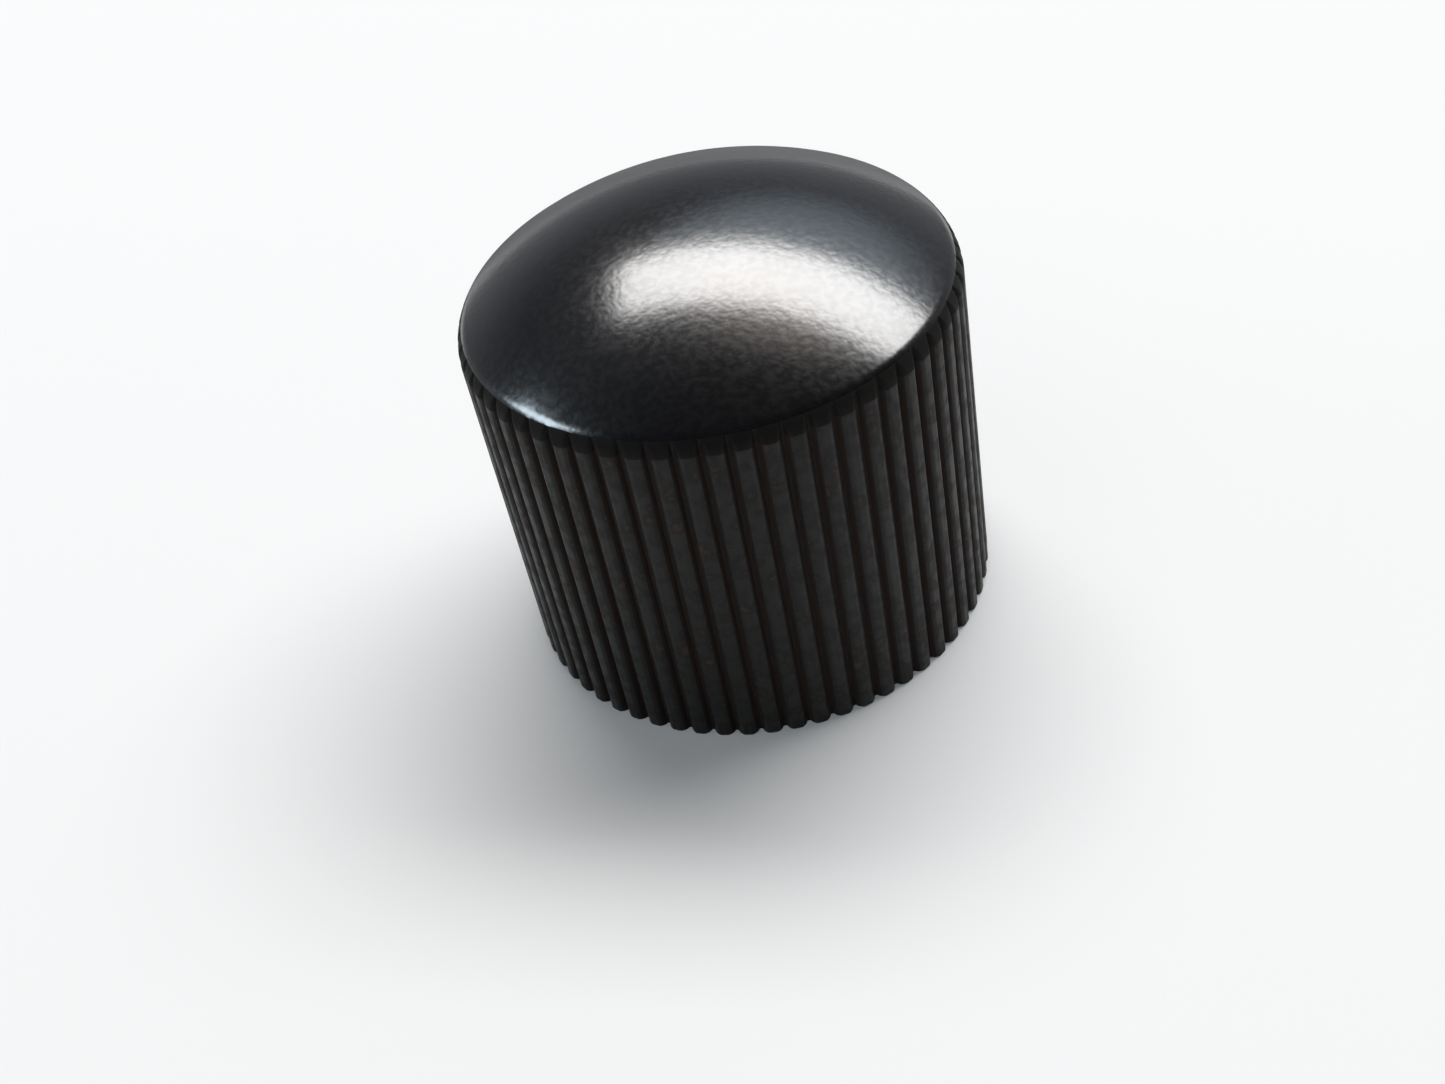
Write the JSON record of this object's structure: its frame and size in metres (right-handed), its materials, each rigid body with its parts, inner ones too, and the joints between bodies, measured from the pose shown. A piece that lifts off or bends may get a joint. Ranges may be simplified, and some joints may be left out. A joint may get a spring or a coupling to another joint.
{
  "type": "control knob",
  "caption": "Black push-on control knob with a domed top, a finely ribbed side and a hollow underside whose split boss is closed on the shaft by a spring band.",
  "frame": {"origin": "centre of the rim's plane, the face that the knob stands on", "axes": "+Z along the knob's axis, up through the dome; +X towards the open side of the spring band, +Y towards a slit of the boss"},
  "size_m": [0.018, 0.018, 0.0167],
  "materials": {
    "black_plastic": "fine-grained half-gloss moulded plastic, duller and slightly dusty between the ribs",
    "spring_steel": "bright rolled spring strip"
  },
  "bodies": {
    "root": {"knob_body": "black_plastic", "spring_band": "spring_steel"}
  },
  "joints": []
}
